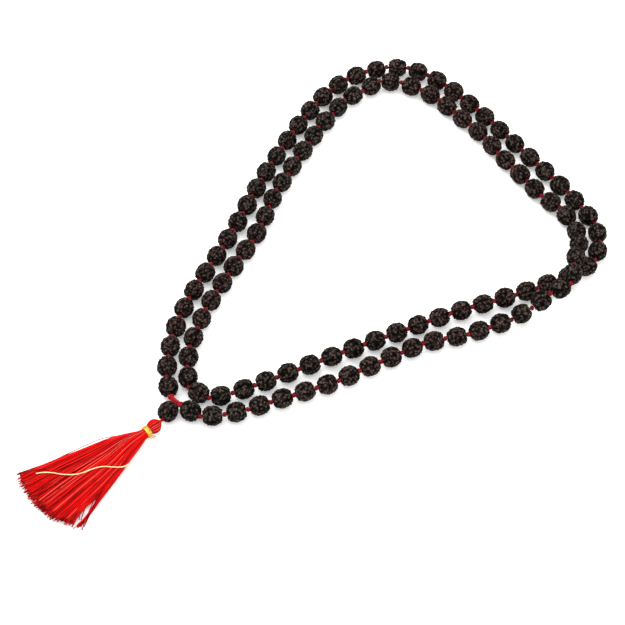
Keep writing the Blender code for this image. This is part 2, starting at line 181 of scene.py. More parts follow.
def push_beads_apart(xy, z, guru, steps=600):
    """Settle the knots: each pitch keeps its length and no two beads touch."""
    home = xy.copy()
    order = np.arange(BEAD_COUNT)
    neighbours = np.abs(order[:, None] - order[None]) <= 1
    height = (z[1:] + z[:-1]) / 2
    spacing = BEAD_DIAMETER + STRAND_GAP
    level_gap = height[:, None] - height[None]
    need = np.sqrt(np.clip(spacing ** 2 - level_gap ** 2, 0, None))
    guru_need = (BEAD_DIAMETER + GURU_DIAMETER) / 2 + STRAND_GAP
    chord = np.sqrt(PITCH ** 2 - np.diff(z) ** 2)
    free = np.ones(BEAD_COUNT + 1)
    free[[0, -1]] = 0
    for step in range(steps):
        if step < 0.8 * steps:
            xy += 0.02 * (home - xy)
            xy[1:-1] += 0.04 * ((xy[:-2] + xy[2:]) / 2 - xy[1:-1])
        middle = (xy[1:] + xy[:-1]) / 2
        away = middle[:, None] - middle[None]
        distance = np.linalg.norm(away, axis=2) + 1e-12
        push = np.where(neighbours, 0, np.clip(need - distance, 0, None))
        move = (away / distance[..., None] * push[..., None]).sum(1) / 2
        from_guru = middle - guru
        reach = np.linalg.norm(from_guru, axis=1)
        move += from_guru * (np.clip(guru_need - reach, 0, None) / reach)[:, None]
        xy[1:-1] += 0.45 * (move[1:] + move[:-1])
        for first in (0, 1):
            a = np.arange(first, BEAD_COUNT, 2)
            b = a + 1
            span = xy[b] - xy[a]
            length = np.linalg.norm(span, axis=1)
            fix = span * ((length - chord[a]) / length / (free[a] + free[b]))[:, None]
            xy[a] += fix * free[a][:, None]
            xy[b] -= fix * free[b][:, None]
    return xy


def guru_centre(first, last):
    """Where the guru bead lies, clear of the bundle between the strand's two ends."""
    heading = np.array([math.cos(GURU_HEADING), math.sin(GURU_HEADING)])
    half = (first - last) / 2
    lean = abs(half @ heading)
    clear = (GURU_DIAMETER + BUNDLE_DIAMETER) / 2 * FACET + BUNDLE_GAP
    reach = lean + math.sqrt(max(0.0, clear ** 2 - half @ half + lean ** 2))
    return (first + last) / 2 + heading * max(reach, GURU_HALF + GAP + BUNDLE_DIAMETER / 2)


def lay_strand():
    """Knot centres of the whole strand, and the guru bead's centre, over the origin."""
    steps = 24
    line = smooth_curve(ROUTE, steps)
    run = lengths_along(line)
    scale = BEAD_COUNT * PITCH / run[-1]
    corner = run[CORNER_POINT * steps]
    knots_at = np.interp(np.arange(BEAD_COUNT + 1),
                         [0, CORNER_SHARE * BEAD_COUNT, BEAD_COUNT], [0, corner, run[-1]])
    xy = np.stack([np.interp(knots_at, run, line[:, k]) for k in (0, 1)], 1) * scale
    crossing = np.interp(run[CROSSING_POINT * steps], knots_at, np.arange(BEAD_COUNT + 1))
    off = np.abs(np.arange(BEAD_COUNT + 1) - crossing)
    rise = np.clip((CROSSING_FLAT + CROSSING_RISE - off) / CROSSING_RISE, 0, 1)
    z = SEAT + CROSSING_LIFT * BEAD_DIAMETER * (3 * rise ** 2 - 2 * rise ** 3)
    guru = guru_centre(xy[0], xy[-1])
    xy = push_beads_apart(xy, z, guru) - guru
    return np.column_stack([xy, z]), np.array([0, 0, GURU_SEAT])


def skirt_section(x):
    """Half width, half height and centre height of the skirt, x from the neck."""
    share = max(0.0, (x - SKIRT_FAN) / SKIRT_LENGTH)
    half_width = STUB_RADIUS + (SKIRT_WIDTH / 2 - STUB_RADIUS) * share ** SKIRT_SPREAD
    half_height = STUB_RADIUS + SKIRT_SWELL * math.sin(math.pi * min(1.0, share * 3.2))
    half_height += (SKIRT_END_HEIGHT / 2 - STUB_RADIUS) * share
    drop = min(1.0, share / SKIRT_DROP)
    drop = drop * drop * (3 - 2 * drop)
    return half_width, half_height, (half_height + SKIRT_LIFT - GURU_SEAT) * drop


def skirt_shift(x):
    """The fan lies a little to its far side."""
    share = max(0.0, (x - SKIRT_FAN) / SKIRT_LENGTH)
    return SKIRT_LEAN * math.sin(math.pi / 2 * share)


def skirt_point(x, angle, lift):
    """A point over the skirt's section, by a distance."""
    half_width, half_height, centre = skirt_section(x)
    return (x, skirt_shift(x) + (half_width + lift) * math.cos(angle),
            centre + (half_height + lift) * math.sin(angle))


# ---- Writing node trees --------------------------------------------------------------
class Field:
    """A socket in a node tree that can be used in plain arithmetic."""

    def __init__(self, tree, socket):
        self.tree, self.socket = tree, socket

    def math(self, operation, *others, clamp=False):
        return put(self.tree, "ShaderNodeMath", dict(enumerate((self,) + others)),
                   operation=operation, use_clamp=clamp)

    def __add__(self, other):
        return self.math("ADD", other)

    def __sub__(self, other):
        return self.math("SUBTRACT", other)

    def __mul__(self, other):
        return self.math("MULTIPLY", other)

    def __truediv__(self, other):
        return self.math("DIVIDE", other)

    def __pow__(self, other):
        return self.math("POWER", other)

    def __rsub__(self, other):
        return self.math("MULTIPLY", -1.0) + other

    def __rtruediv__(self, other):
        return self.math("POWER", -1.0) * other

    __radd__, __rmul__ = __add__, __mul__

    def sin(self):
        return self.math("SINE")

    def cos(self):
        return self.math("COSINE")

    def size(self):
        return self.math("ABSOLUTE")

    def least(self, other):
        return self.math("MINIMUM", other)

    def most(self, other):
        return self.math("MAXIMUM", other)

    def within(self):
        """Held between 0 and 1."""
        return self.math("ADD", 0.0, clamp=True)

    def eased(self, low, high):
        """0 below low, 1 above high, and smooth between them."""
        return put(self.tree, "ShaderNodeMapRange",
                   {"Value": self, "From Min": low, "From Max": high},
                   interpolation_type="SMOOTHSTEP")


def put(tree, kind, wires=None, out=0, **settings):
    """Add a node, set it up and wire its inputs. Returns one of its outputs."""
    node = tree.nodes.new(kind)
    for name, value in settings.items():
        setattr(node, name, value)
    for place, value in (wires or {}).items():
        if isinstance(value, Field):
            tree.links.new(value.socket, node.inputs[place])
        else:
            node.inputs[place].default_value = value
    return Field(tree, node.outputs[out])


def new_tree(name, **sizes):
    """A geometry tree with a named input for each size. Returns it and its inputs."""
    tree = bpy.data.node_groups.new(name, "GeometryNodeTree")
    tree.interface.new_socket("Geometry", in_out="INPUT", socket_type="NodeSocketGeometry")
    tree.interface.new_socket("Geometry", in_out="OUTPUT", socket_type="NodeSocketGeometry")
    tree.interface.new_socket("Material", in_out="INPUT", socket_type="NodeSocketMaterial")
    for label, value in sizes.items():
        kind = "NodeSocketInt" if isinstance(value, int) else "NodeSocketFloat"
        socket = tree.interface.new_socket(label, in_out="INPUT", socket_type=kind)
        socket.default_value = value
    source = tree.nodes.new("NodeGroupInput")
    return tree, {s.name: Field(tree, s) for s in source.outputs if s.name}


def finish_tree(tree, inputs, geometry):
    """Smooth, real geometry with its material on, out of the tree."""
    real = put(tree, "GeometryNodeRealizeInstances", {"Geometry": geometry})
    smooth = put(tree, "GeometryNodeSetShadeSmooth", {"Geometry": real})
    done = put(tree, "GeometryNodeSetMaterial",
               {"Geometry": smooth, "Material": inputs["Material"]})
    end = tree.nodes.new("NodeGroupOutput")
    tree.links.new(done.socket, end.inputs[0])


def store(tree, geometry, name, value, kind="FLOAT"):
    """A value kept on each point of the geometry, under this name."""
    return put(tree, "GeometryNodeStoreNamedAttribute",
               {"Geometry": geometry, "Name": name, "Value": value},
               data_type=kind, domain="POINT")


def stored(tree, name, kind="FLOAT"):
    return put(tree, "GeometryNodeInputNamedAttribute", {"Name": name}, data_type=kind)


def vector(tree, x, y, z):
    return put(tree, "ShaderNodeCombineXYZ", {0: x, 1: y, 2: z})


def parts_of(tree, field):
    return [put(tree, "ShaderNodeSeparateXYZ", {0: field}, out=k) for k in range(3)]


def chance(tree, low, high, seed, key):
    """A random number for each thread."""
    return put(tree, "FunctionNodeRandomValue", {2: low, 3: high, "Seed": seed, "ID": key},
               out=1, data_type="FLOAT")


def grow(name, source, tree, material, **sizes):
    """Run a tree over a mesh, and keep what it makes as one plain mesh."""
    obj = bpy.data.objects.new(name, source)
    bpy.context.scene.collection.objects.link(obj)
    modifier = obj.modifiers.new("Build", "NODES")
    modifier.node_group = tree
    keys = {item.name: item.identifier for item in tree.interface.items_tree
            if item.in_out == "INPUT"}
    modifier[keys["Material"]] = material
    for label, value in sizes.items():
        modifier[keys[label]] = value
    made = obj.evaluated_get(bpy.context.evaluated_depsgraph_get())
    mesh = bpy.data.meshes.new_from_object(made)
    obj.modifiers.clear()
    obj.data = mesh
    mesh.name = name
    mesh.materials.clear()
    mesh.materials.append(material)
    mesh.polygons.foreach_set("material_index", [0] * len(mesh.polygons))
    return obj


def points_mesh(name, points, edges=(), **values):
    """A mesh of bare points, with a value or a vector stored on each."""
    mesh = bpy.data.meshes.new(name)
    mesh.from_pydata([tuple(p) for p in points], list(edges), [])
    for label, rows in values.items():
        rows = np.array(rows, np.float32)
        kind, field = ("FLOAT", "value") if rows.ndim == 1 else ("FLOAT_VECTOR", "vector")
        attribute = mesh.attributes.new(label, kind, "POINT")
        attribute.data.foreach_set(field, rows.ravel())
    return mesh


def lines_mesh(name, lines):
    """A mesh of open lines."""
    points, edges = [], []
    for line in lines:
        first = len(points)
        points += [tuple(p) for p in line]
        edges += [(first + i, first + i + 1) for i in range(len(line) - 1)]
    return points_mesh(name, points, edges)


# ---- Materials -----------------------------------------------------------------------
def new_material(name, **sockets):
    """A Principled material, and its tree, shader and object coordinates."""
    made = bpy.data.materials.new(name)
    made.use_nodes = True
    tree = made.node_tree
    shader = tree.nodes["Principled BSDF"]
    for label, value in sockets.items():
        shader.inputs[label.replace("_", " ")].default_value = value
    place = put(tree, "ShaderNodeTexCoord", out=3)
    return made, tree, shader, place


def wire(tree, value, socket):
    tree.links.new(value.socket, socket)


def mixed(tree, share, low, high):
    """Between two colours; either may be a colour or a field."""
    return put(tree, "ShaderNodeMix", {0: share, 6: low, 7: high}, out=2, data_type="RGBA")


def noise(tree, place, size, detail=2.0, rough=0.5):
    """Noise whose lumps are about this size, in metres."""
    return put(tree, "ShaderNodeTexNoise",
               {"Vector": place, "Scale": 1 / size, "Detail": detail, "Roughness": rough})


def bumped(tree, shader, height, distance, strength):
    bump = put(tree, "ShaderNodeBump",
               {"Height": height, "Distance": distance, "Strength": strength})
    wire(tree, bump, shader.inputs["Normal"])


def seed_material():
    """Rudraksha shell: nearly black in its furrows, which is painted shade, and a lighter brown
    along its crests, which is partly its own colour and partly painted highlight.
    """
    made, tree, shader, place = new_material("rudraksha_shell")
    crest = put(tree, "ShaderNodeAttribute", out=2, attribute_name="crest")
    tone = put(tree, "ShaderNodeAttribute", out=2, attribute_name="tone")
    speckle = noise(tree, place, 0.32 * MM, 3.0, 0.65)
    patches = noise(tree, place, 2.4 * MM, 1.0)
    # Painted shade: the furrows between the warts are painted nearly black.
    painted_furrow_shade = mixed(tree, patches, (0.0012, 0.0010, 0.0009, 1), (0.0030, 0.0014, 0.0013, 1))
    shell = mixed(tree, tone, (0.020, 0.016, 0.012, 1), (0.030, 0.014, 0.012, 1))
    # Painted highlight: a lighter brown laid on the crests and flecks, partly the crests' own
    # lighter brown.
    lit = (crest + speckle * 0.7 - 0.35).eased(0.42, 1.0)
    crest_brown_and_highlight = mixed(tree, patches, (0.100, 0.082, 0.066, 1), (0.120, 0.074, 0.062, 1))
    body = mixed(tree, crest.eased(0.24, 0.76), painted_furrow_shade, shell)
    wire(tree, mixed(tree, lit * 0.75, body, crest_brown_and_highlight), shader.inputs["Base Color"])
    wire(tree, 0.86 - crest * 0.28 + (speckle - 0.5) * 0.2, shader.inputs["Roughness"])
    wire(tree, crest * 0.14 + 0.005, shader.inputs["Specular IOR Level"])
    grain = noise(tree, place, 0.14 * MM, 2.0, 0.6)
    bumped(tree, shader, speckle + grain * 0.5, 0.14 * MM, 0.9)
    return made


def thread_material(name, dull, bright):
    """Crimson cotton, with dark flecks from a fine noise painted in as the shade between its
    plies.
    """
    made, tree, shader, place = new_material(
        name, Specular_IOR_Level=0.1, Sheen_Weight=0.12, Sheen_Roughness=0.5,
        Roughness=0.75)
    shader.inputs["Sheen Tint"].default_value = (1.0, 0.35, 0.35, 1)
    fuzz_and_shade = noise(tree, place, 0.25 * MM, 3.0, 0.6)
    worn = noise(tree, place, 5 * MM, 1.0)
    red = mixed(tree, worn, dull, bright)
    # Painted shade: dark crimson where the fine noise is low, standing for the shade between the
    # plies.
    wire(tree, mixed(tree, fuzz_and_shade.eased(0.35, 0.7), (0.085, 0.0015, 0.003, 1), red),
         shader.inputs["Base Color"])
    bumped(tree, shader, fuzz_and_shade, 0.06 * MM, 0.7)
    return made


def silk_material():
    """Bright red silk: each thread has its own tone, with a soft shine. The palest threads are a
    painted highlight; the darkest tones are partly painted shade between the threads, and the
    dark streaks along each thread and the darkened cut ends are painted shade.
    """
    made, tree, shader, place = new_material("red_silk", Specular_IOR_Level=0.05)
    tone = put(tree, "ShaderNodeAttribute", out=2, attribute_name="tone")
    along = put(tree, "ShaderNodeAttribute", out=2, attribute_name="along")
    sweep = put(tree, "ShaderNodeTexNoise",
                {"Vector": vector(tree, tone * 90.0, along * 7.0, 0.0), "Scale": 1.0,
                 "Detail": 1.0})
    # Each thread's own random tone of red; its dark end also serves as painted shade between the
    # threads.
    red = mixed(tree, tone.eased(0.10, 0.60), (0.20, 0.0008, 0.0015, 1),
                (0.74, 0.004, 0.003, 1))
    # Painted highlight: the palest threads are painted pink.
    red = mixed(tree, tone.eased(0.84, 0.98), red, (1.0, 0.12, 0.09, 1))
    # Painted shade: dark streaks along each thread, and the cut ends darkened.
    painted_shade = (sweep.eased(0.52, 0.74) * 0.45 + along.eased(0.975, 1.0) * 0.55).within()
    wire(tree, mixed(tree, painted_shade, red, (0.10, 0.0008, 0.002, 1)),
         shader.inputs["Base Color"])
    wire(tree, 0.30 + sweep * 0.3, shader.inputs["Roughness"])
    bumped(tree, shader, noise(tree, place, 0.2 * MM, 2.0), 0.03 * MM, 0.5)
    return made


def gold_material(name, bright, dark, metal):
    """Gilt thread: foil laid round a core, with worn matt places."""
    made, tree, shader, place = new_material(name, Metallic=metal)
    foil = noise(tree, place, 0.5 * MM, 2.0)
    worn = noise(tree, place, 3 * MM, 1.0)
    wire(tree, mixed(tree, (foil * 0.6 + worn * 0.4).eased(0.36, 0.66), dark, bright),
         shader.inputs["Base Color"])
    wire(tree, 0.26 + worn * 0.25, shader.inputs["Roughness"])
    bumped(tree, shader, foil, 0.05 * MM, 0.6)
    return made


# ---- Trees ---------------------------------------------------------------------------
def seed_tree():
    """Rudraksha seeds, one on each point: warty, with seams from end to end."""
    tree, given = new_tree("Rudraksha seeds", Radius=1.0, Length=1.0, Bore=1.0,
                           Hollow=1.0, HollowWidth=1.0, Clefts=5, WartSize=1.0,
                           WartHeight=1.0, Round=64, Long=48)
    grid = put(tree, "GeometryNodeMeshGrid",
               {"Size X": 1.0, "Size Y": 1.0, "Vertices X": given["Long"] + 1,
                "Vertices Y": given["Round"] + 1})
    x, y, _ = parts_of(tree, put(tree, "GeometryNodeInputPosition"))
    row = ((x + 0.5) * given["Long"]).math("ROUND")
    row = row.math("MODULO", given["Long"])
    mouth = (given["Bore"] / given["Radius"]).math("ARCSINE")
    polar = mouth + (math.pi - 2 * mouth) * row / (given["Long"] - 1)
    turn = (y + 0.5) * (2 * math.pi)
    reach = polar.sin() * given["Radius"]
    hollow = 1 - reach.eased(given["Bore"], given["HollowWidth"])
    half = given["Length"] * 0.5 - given["Hollow"] * hollow
    shape = put(tree, "GeometryNodeSetPosition",
                {"Geometry": grid,
                 "Position": vector(tree, polar.cos() * half * -1.0,
                                    reach * turn.cos(), reach * turn.sin())})
    shape = put(tree, "GeometryNodeMergeByDistance",
                {"Geometry": shape, "Distance": 0.001 * MM})
    shape = put(tree, "GeometryNodeFlipFaces", {"Mesh": shape})
    place = put(tree, "GeometryNodeInputPosition")
    shape = store(tree, shape, "local", place, "FLOAT_VECTOR")
    spots = put(tree, "GeometryNodeInstanceOnPoints",
                {"Points": given["Geometry"], "Instance": shape,
                 "Rotation": put(tree, "FunctionNodeEulerToRotation",
                                 {0: stored(tree, "turn", "FLOAT_VECTOR")}),
                 "Scale": stored(tree, "girth", "FLOAT_VECTOR")})
    real = put(tree, "GeometryNodeRealizeInstances", {"Geometry": spots})

    local = stored(tree, "local", "FLOAT_VECTOR")
    grain = stored(tree, "grain")
    lx, ly, lz = parts_of(tree, local)
    radial = (ly * ly + lz * lz).math("SQRT")
    own = put(tree, "ShaderNodeVectorMath",
              {0: put(tree, "ShaderNodeVectorMath",
                      {0: local, "Scale": 1 / given["WartSize"]}, operation="SCALE"),
               1: vector(tree, grain * 7.3, grain * 3.1, grain * 5.7)}, operation="ADD")
    drift = put(tree, "ShaderNodeTexNoise", {"Vector": own, "Scale": 0.75, "Detail": 1.0},
                out=1)
    bent = put(tree, "ShaderNodeVectorMath",
               {0: own, 1: put(tree, "ShaderNodeVectorMath", {0: drift, "Scale": 1.1},
                               operation="SCALE")}, operation="ADD")
    big = put(tree, "ShaderNodeTexVoronoi", {"Vector": bent, "Scale": 1.0}, feature="F1")
    big = 1 - big * 1.3
    small = put(tree, "ShaderNodeTexVoronoi", {"Vector": bent, "Scale": 2.3}, feature="F1")
    small = 1 - small * 1.2
    wobble = put(tree, "ShaderNodeTexNoise", {"Vector": own, "Scale": 0.6, "Detail": 1.0})
    angle = ly.math("ARCTAN2", lz) + (wobble - 0.5) * 0.5
    seam = (angle * given["Clefts"] * 0.5).sin().size().eased(0.0, 0.24)
    lumps = (big.within() * 0.7 + small.within() * 0.3).within()
    crest = lumps * (seam * 0.6 + 0.4)
    clear = radial.eased(given["Bore"] * 1.02, given["Bore"] * 2.0)
    swell = (crest + (wobble - 0.5) * 0.5 - 0.1 + (seam - 1) * 0.35) * clear
    moved = put(tree, "GeometryNodeSetPosition",
                {"Geometry": real,
                 "Offset": put(tree, "ShaderNodeVectorMath",
                               {0: put(tree, "GeometryNodeInputNormal"),
                                "Scale": swell * given["WartHeight"]}, operation="SCALE")})
    outside = radial.eased(given["Bore"], given["Bore"] * 1.5)
    # The crest also picks the painted colours: where it is low the shell is painted nearly black
    # as shade. It is held at 0 in and round the bore, which so gets painted shade too.
    kept = store(tree, moved, "crest", (crest * 1.25).within() * outside)
    kept = store(tree, kept, "tone", (grain * 12.9).sin() * 0.5 + 0.5)
    finish_tree(tree, given, kept)
    return tree


def lobed_profile(tree, radius, lobes, depth, sides):
    """Outline of a cord laid up from plies."""
    circle = put(tree, "GeometryNodeCurvePrimitiveCircle",
                 {"Resolution": sides, "Radius": radius})
    angle = put(tree, "GeometryNodeInputIndex") * (2 * math.pi / sides)
    reach = radius * (1 - depth + depth * (angle * float(lobes)).cos().size())
    return put(tree, "GeometryNodeSetPosition",
               {"Geometry": circle,
                "Position": vector(tree, reach * angle.cos(), reach * angle.sin(), 0.0)})


def cord_tree():
    """Laid-up cord along each line."""
    tree, given = new_tree("Laid cord", Radius=1.0, Step=1.0, Twist=1.0)
    curve = put(tree, "GeometryNodeMeshToCurve", {"Mesh": given["Geometry"]})
    curve = put(tree, "GeometryNodeResampleCurve",
                {"Curve": curve, "Length": given["Step"]}, mode="LENGTH")
    along = put(tree, "GeometryNodeSplineParameter", out=1)
    curve = put(tree, "GeometryNodeSetCurveTilt",
                {"Curve": curve, "Tilt": along * given["Twist"]})
    tube = put(tree, "GeometryNodeCurveToMesh",
               {"Curve": curve, "Profile Curve": lobed_profile(tree, given["Radius"], 1.5,
                                                               0.22, 12),
                "Fill Caps": True})
    finish_tree(tree, given, tube)
    return tree


def knot_tree():
    """An overhand knot pulled tight on each point."""
    tree, given = new_tree("Overhand knots", Across=1.0, Long=1.0, Radius=1.0)
    circle = put(tree, "GeometryNodeCurvePrimitiveCircle", {"Resolution": 30})
    t = put(tree, "GeometryNodeInputIndex") * (2 * math.pi / 30)
    wide = (given["Across"] * 0.5 - given["Radius"]) / 3
    high = given["Long"] * 0.5 - given["Radius"]
    path = put(tree, "GeometryNodeSetPosition",
               {"Geometry": circle,
                "Position": vector(tree, (t * 3.0).sin() * high,
                                   wide * (t.sin() + 2 * (t * 2.0).sin()),
                                   wide * (t.cos() - 2 * (t * 2.0).cos()))})
    ring = put(tree, "GeometryNodeCurvePrimitiveCircle",
               {"Resolution": 6, "Radius": given["Radius"]})
    tube = put(tree, "GeometryNodeCurveToMesh", {"Curve": path, "Profile Curve": ring})
    spots = put(tree, "GeometryNodeInstanceOnPoints",
                {"Points": given["Geometry"], "Instance": tube,
                 "Rotation": put(tree, "FunctionNodeEulerToRotation",
                                 {0: stored(tree, "turn", "FLOAT_VECTOR")})})
    finish_tree(tree, given, spots)
    return tree


def winding_tree():
    """Close turns of thread round the X axis, from x = Start."""
    tree, given = new_tree("Winding", Start=1.0, Long=1.0, Turns=1.0, Across=1.0,
                           Radius=1.0, Twist=1.0)
    reach = given["Across"] * 0.5 - given["Radius"]
    coil = put(tree, "GeometryNodeCurveSpiral",
               {"Resolution": 30, "Rotations": given["Turns"], "Start Radius": reach,
                "End Radius": reach, "Height": given["Long"] - given["Radius"] * 2})
    x, y, z = parts_of(tree, put(tree, "GeometryNodeInputPosition"))
    coil = put(tree, "GeometryNodeSetPosition",
               {"Geometry": coil,
                "Position": vector(tree, z + given["Start"] + given["Radius"], y, x * -1.0)})
    along = put(tree, "GeometryNodeSplineParameter", out=1)
    coil = put(tree, "GeometryNodeSetCurveTilt",
               {"Curve": coil, "Tilt": along * given["Twist"]})
    tube = put(tree, "GeometryNodeCurveToMesh",
               {"Curve": coil, "Profile Curve": lobed_profile(tree, given["Radius"], 1.5,
                                                              0.16, 10),
                "Fill Caps": True})
    joined = put(tree, "GeometryNodeJoinGeometry")
    for piece in (tube, given["Geometry"]):
        tree.links.new(piece.socket, joined.socket.node.inputs[0])
    finish_tree(tree, given, joined)
    return tree


def threads(tree, count, points):
    """Straight threads to be bent, with each one's number and share stored on it."""
    line = put(tree, "GeometryNodeCurvePrimitiveLine", {"End": (1.0, 0.0, 0.0)})
    line = put(tree, "GeometryNodeResampleCurve", {"Curve": line, "Count": points},
               mode="COUNT")
    starts = put(tree, "GeometryNodeMeshLine", {"Count": count})
    starts = store(tree, starts, "thread", put(tree, "GeometryNodeInputIndex"))
    many = put(tree, "GeometryNodeInstanceOnPoints", {"Points": starts, "Instance": line})
    many = put(tree, "GeometryNodeRealizeInstances", {"Geometry": many})
    return store(tree, many, "along", put(tree, "GeometryNodeSplineParameter"))


def round_threads(tree, lines, radius, sides=3):
    """A few-sided thread round each line."""
    ring = put(tree, "GeometryNodeCurvePrimitiveCircle",
               {"Resolution": sides, "Radius": radius})
    return put(tree, "GeometryNodeCurveToMesh",
               {"Curve": lines, "Profile Curve": ring, "Fill Caps": True})


def head_tree():
    """Silk drawn over the bulb of the tassel's head, from the neck to the binding."""
    tree, given = new_tree("Silk over the head", Start=1.0, Long=1.0, Across=1.0,
                           Threads=100, Radius=1.0, Seed=3)
    lines = threads(tree, given["Threads"], 16)
    number, along = stored(tree, "thread"), stored(tree, "along")
    swing = chance(tree, -0.5, 0.5, given["Seed"], number.math("ROUND"))
    angle = (number + swing) * (2 * math.pi) / given["Threads"] + along * 0.35
    t = 0.10 + along * HEAD_SWEEP
    x = given["Start"] + given["Long"] * (1 - t.cos()) / (1 - math.cos(HEAD_SWEEP))
    x = x - (1 - along) ** 4.0 * (0.5 * MM)
    reach = t.sin() ** (1 + 0.6 * (1 - along)) * (given["Across"] * 0.5 - given["Radius"])
    reach = reach.most(0.42 * MM) + chance(tree, -0.12 * MM, 0.05 * MM, given["Seed"] + 1,
                                          number.math("ROUND"))
    bent = put(tree, "GeometryNodeSetPosition",
               {"Geometry": lines, "Position": vector(tree, x, reach * angle.cos(),
                                                      reach * angle.sin())})
    tube = round_threads(tree, bent, given["Radius"])
    tube = store(tree, tube, "tone", chance(tree, 0.0, 1.0, given["Seed"] + 2,
                                            number.math("ROUND")))
    joined = put(tree, "GeometryNodeJoinGeometry")
    for piece in (tube, given["Geometry"]):
        tree.links.new(piece.socket, joined.socket.node.inputs[0])
    finish_tree(tree, given, joined)
    return tree


def skirt_tree():
    """The skirt: silk threads that leave the binding in a bundle and fan out flat."""
    tree, given = new_tree(
        "Silk skirt", Start=1.0, Fan=1.0, Long=1.0, Stub=1.0, Width=1.0, EndHeight=1.0,
        Lift=1.0, Seat=1.0, Ragged=1.0, Wander=1.0, Threads=100, Strays=10, Radius=1.0,
        Seed=5)
    lines = threads(tree, given["Threads"], 22)
    number, along = stored(tree, "thread").math("ROUND"), stored(tree, "along")

    def pick(low, high, step):
        return chance(tree, low, high, given["Seed"] + step, number)

    # A place in the round bundle, which keeps its share of the width as it fans out.
    reach = pick(0.0, 1.0, 0).math("SQRT")
    turn = pick(0.0, 2 * math.pi, 1)
    across, deep = reach * turn.cos(), reach * turn.sin()
    edge = across.size()
    even = (across * 0.55 + across * edge * 0.42 + pick(-0.05, 0.05, 2))
    # The first few threads lie loose along the two edges.
    stray = number.math("LESS_THAN", given["Strays"])
    side = pick(-1.0, 1.0, 12).math("SIGN")
    even = even + stray * (side * pick(0.95, 1.02, 13) - even)
    away = even - SKIRT_LONGEST
    end = given["Long"] + SKIRT_OVER - away * away * SKIRT_ROUNDING
    end = end + pick(-1.0, 1.0, 3) * pick(0.0, 1.0, 4) * given["Ragged"]
    x = given["Start"] + along * (given["Fan"] - given["Start"] + end)
    share = ((x - given["Fan"]) / given["Long"]).most(0.0)
    half_width = given["Stub"] + (given["Width"] * 0.5 - given["Stub"]) * share ** SKIRT_SPREAD
    half_height = given["Stub"] + SKIRT_SWELL * ((share * 3.2).least(1.0) * math.pi).sin()
    half_height = half_height + (given["EndHeight"] * 0.5 - given["Stub"]) * share.least(1.0)
    drop = (share / SKIRT_DROP).least(1.0)
    drop = drop * drop * (3 - 2 * drop)
    centre = (half_height + given["Lift"] - given["Seat"]) * drop
    shift = (share.least(1.0) * (math.pi / 2)).sin() * SKIRT_LEAN
    # The far edge swells out under the binding.
    far = (even * -1).most(0.0)
    bulge = (share * 3.4).least(1.0) * (1 - share.least(1.0))
    shift = shift - far * far * bulge * (2.2 * MM)
    # Near the other edge a few threads part and leave a long gap.
    aside = even - PARTING
    part = (1 - (aside.size() / 0.19).least(1.0)) * share.eased(0.60, 0.80)
    apart = aside.math("SIGN") * part * (1 - share.eased(0.86, 1.0)) * (1.3 * MM)
    wave = ((share * pick(3.0, 8.0, 5) + pick(0.0, 6.3, 6)).sin()
            * share.least(1.0) * given["Wander"])
    y = shift + half_width * (even * share.least(1.0) + across * (1 - share.least(1.0)))
    loose = (share * pick(3.0, 6.0, 14) + pick(0.0, 3.1, 15)).sin().size() * (1.5 * MM)
    loose = stray * side * loose * share.eased(0.05, 0.3)
    y = y + wave * pick(-1.0, 1.0, 7) + apart + loose
    z = centre + half_height * deep * 0.92
    rise = (share * pick(2.0, 6.0, 8) + pick(0.0, 6.3, 9)).sin() * share.least(1.0)
    z = (z + rise * pick(0.0, 0.25 * MM, 10)).most(given["Radius"] - given["Seat"])
    bent = put(tree, "GeometryNodeSetPosition",
               {"Geometry": lines, "Position": vector(tree, x, y, z)})
    tube = round_threads(tree, bent, given["Radius"])
    tube = store(tree, tube, "tone", pick(0.0, 1.0, 11) * (1 - stray * 0.7))
    finish_tree(tree, given, tube)
    return tree


# ---- Making the pieces ---------------------------------------------------------------
def euler_of(axis, roll):
    """Turn that lays the X axis along this axis, after a roll about it."""
    side, up = frame_on(axis)
    turn = Matrix(np.column_stack([axis, side, up]).tolist())
    return tuple((turn @ Matrix.Rotation(roll, 3, "X")).to_euler())


def make_seeds(name, tree, material, beads, knots, diameter=BEAD_DIAMETER,
               bore=THREAD_DIAMETER / 2 + BORE_CLEARANCE):
    """Detailed seeds for these beads, as one piece. A bead is its number on the strand."""
    places, turns, grains, girths = [], [], [], []
    for bead in beads:
        axis = unit(knots[bead + 1] - knots[bead])
        places.append((knots[bead] + knots[bead + 1]) / 2)
        turns.append(euler_of(axis, SEED_TURN * bead + 0.7))
        grains.append(bead + 1.0)
        girth = 1.0 + 0.022 * math.sin(bead * 7.13) + 0.016 * math.sin(bead * 2.71)
        girths.append((1.0, girth, girth * (1 + 0.02 * math.sin(bead * 5.3))))
    source = points_mesh(name + "_places", places, turn=turns, grain=grains, girth=girths)
    return grow(name, source, tree, material, Radius=diameter / 2 * SEED_BODY,
                Length=diameter * SEED_BODY_LONG, Bore=bore, Hollow=HOLLOW_DEPTH,
                HollowWidth=HOLLOW_WIDTH, WartSize=WART_SIZE,
                WartHeight=WART_HEIGHT, Clefts=CLEFTS, Round=SEED_ROUND, Long=SEED_LONG)


def join(pieces, name):
    """Several objects made one mesh."""
    first = pieces[0]
    with bpy.context.temp_override(active_object=first, selected_editable_objects=pieces):
        bpy.ops.object.join()
    first.name = first.data.name = name
    return first


def knot_axis(knots, k):
    """The way that the thread runs through a knot."""
    ahead = knots[min(k + 1, len(knots) - 1)] - knots[max(k - 1, 0)]
    return unit(ahead)


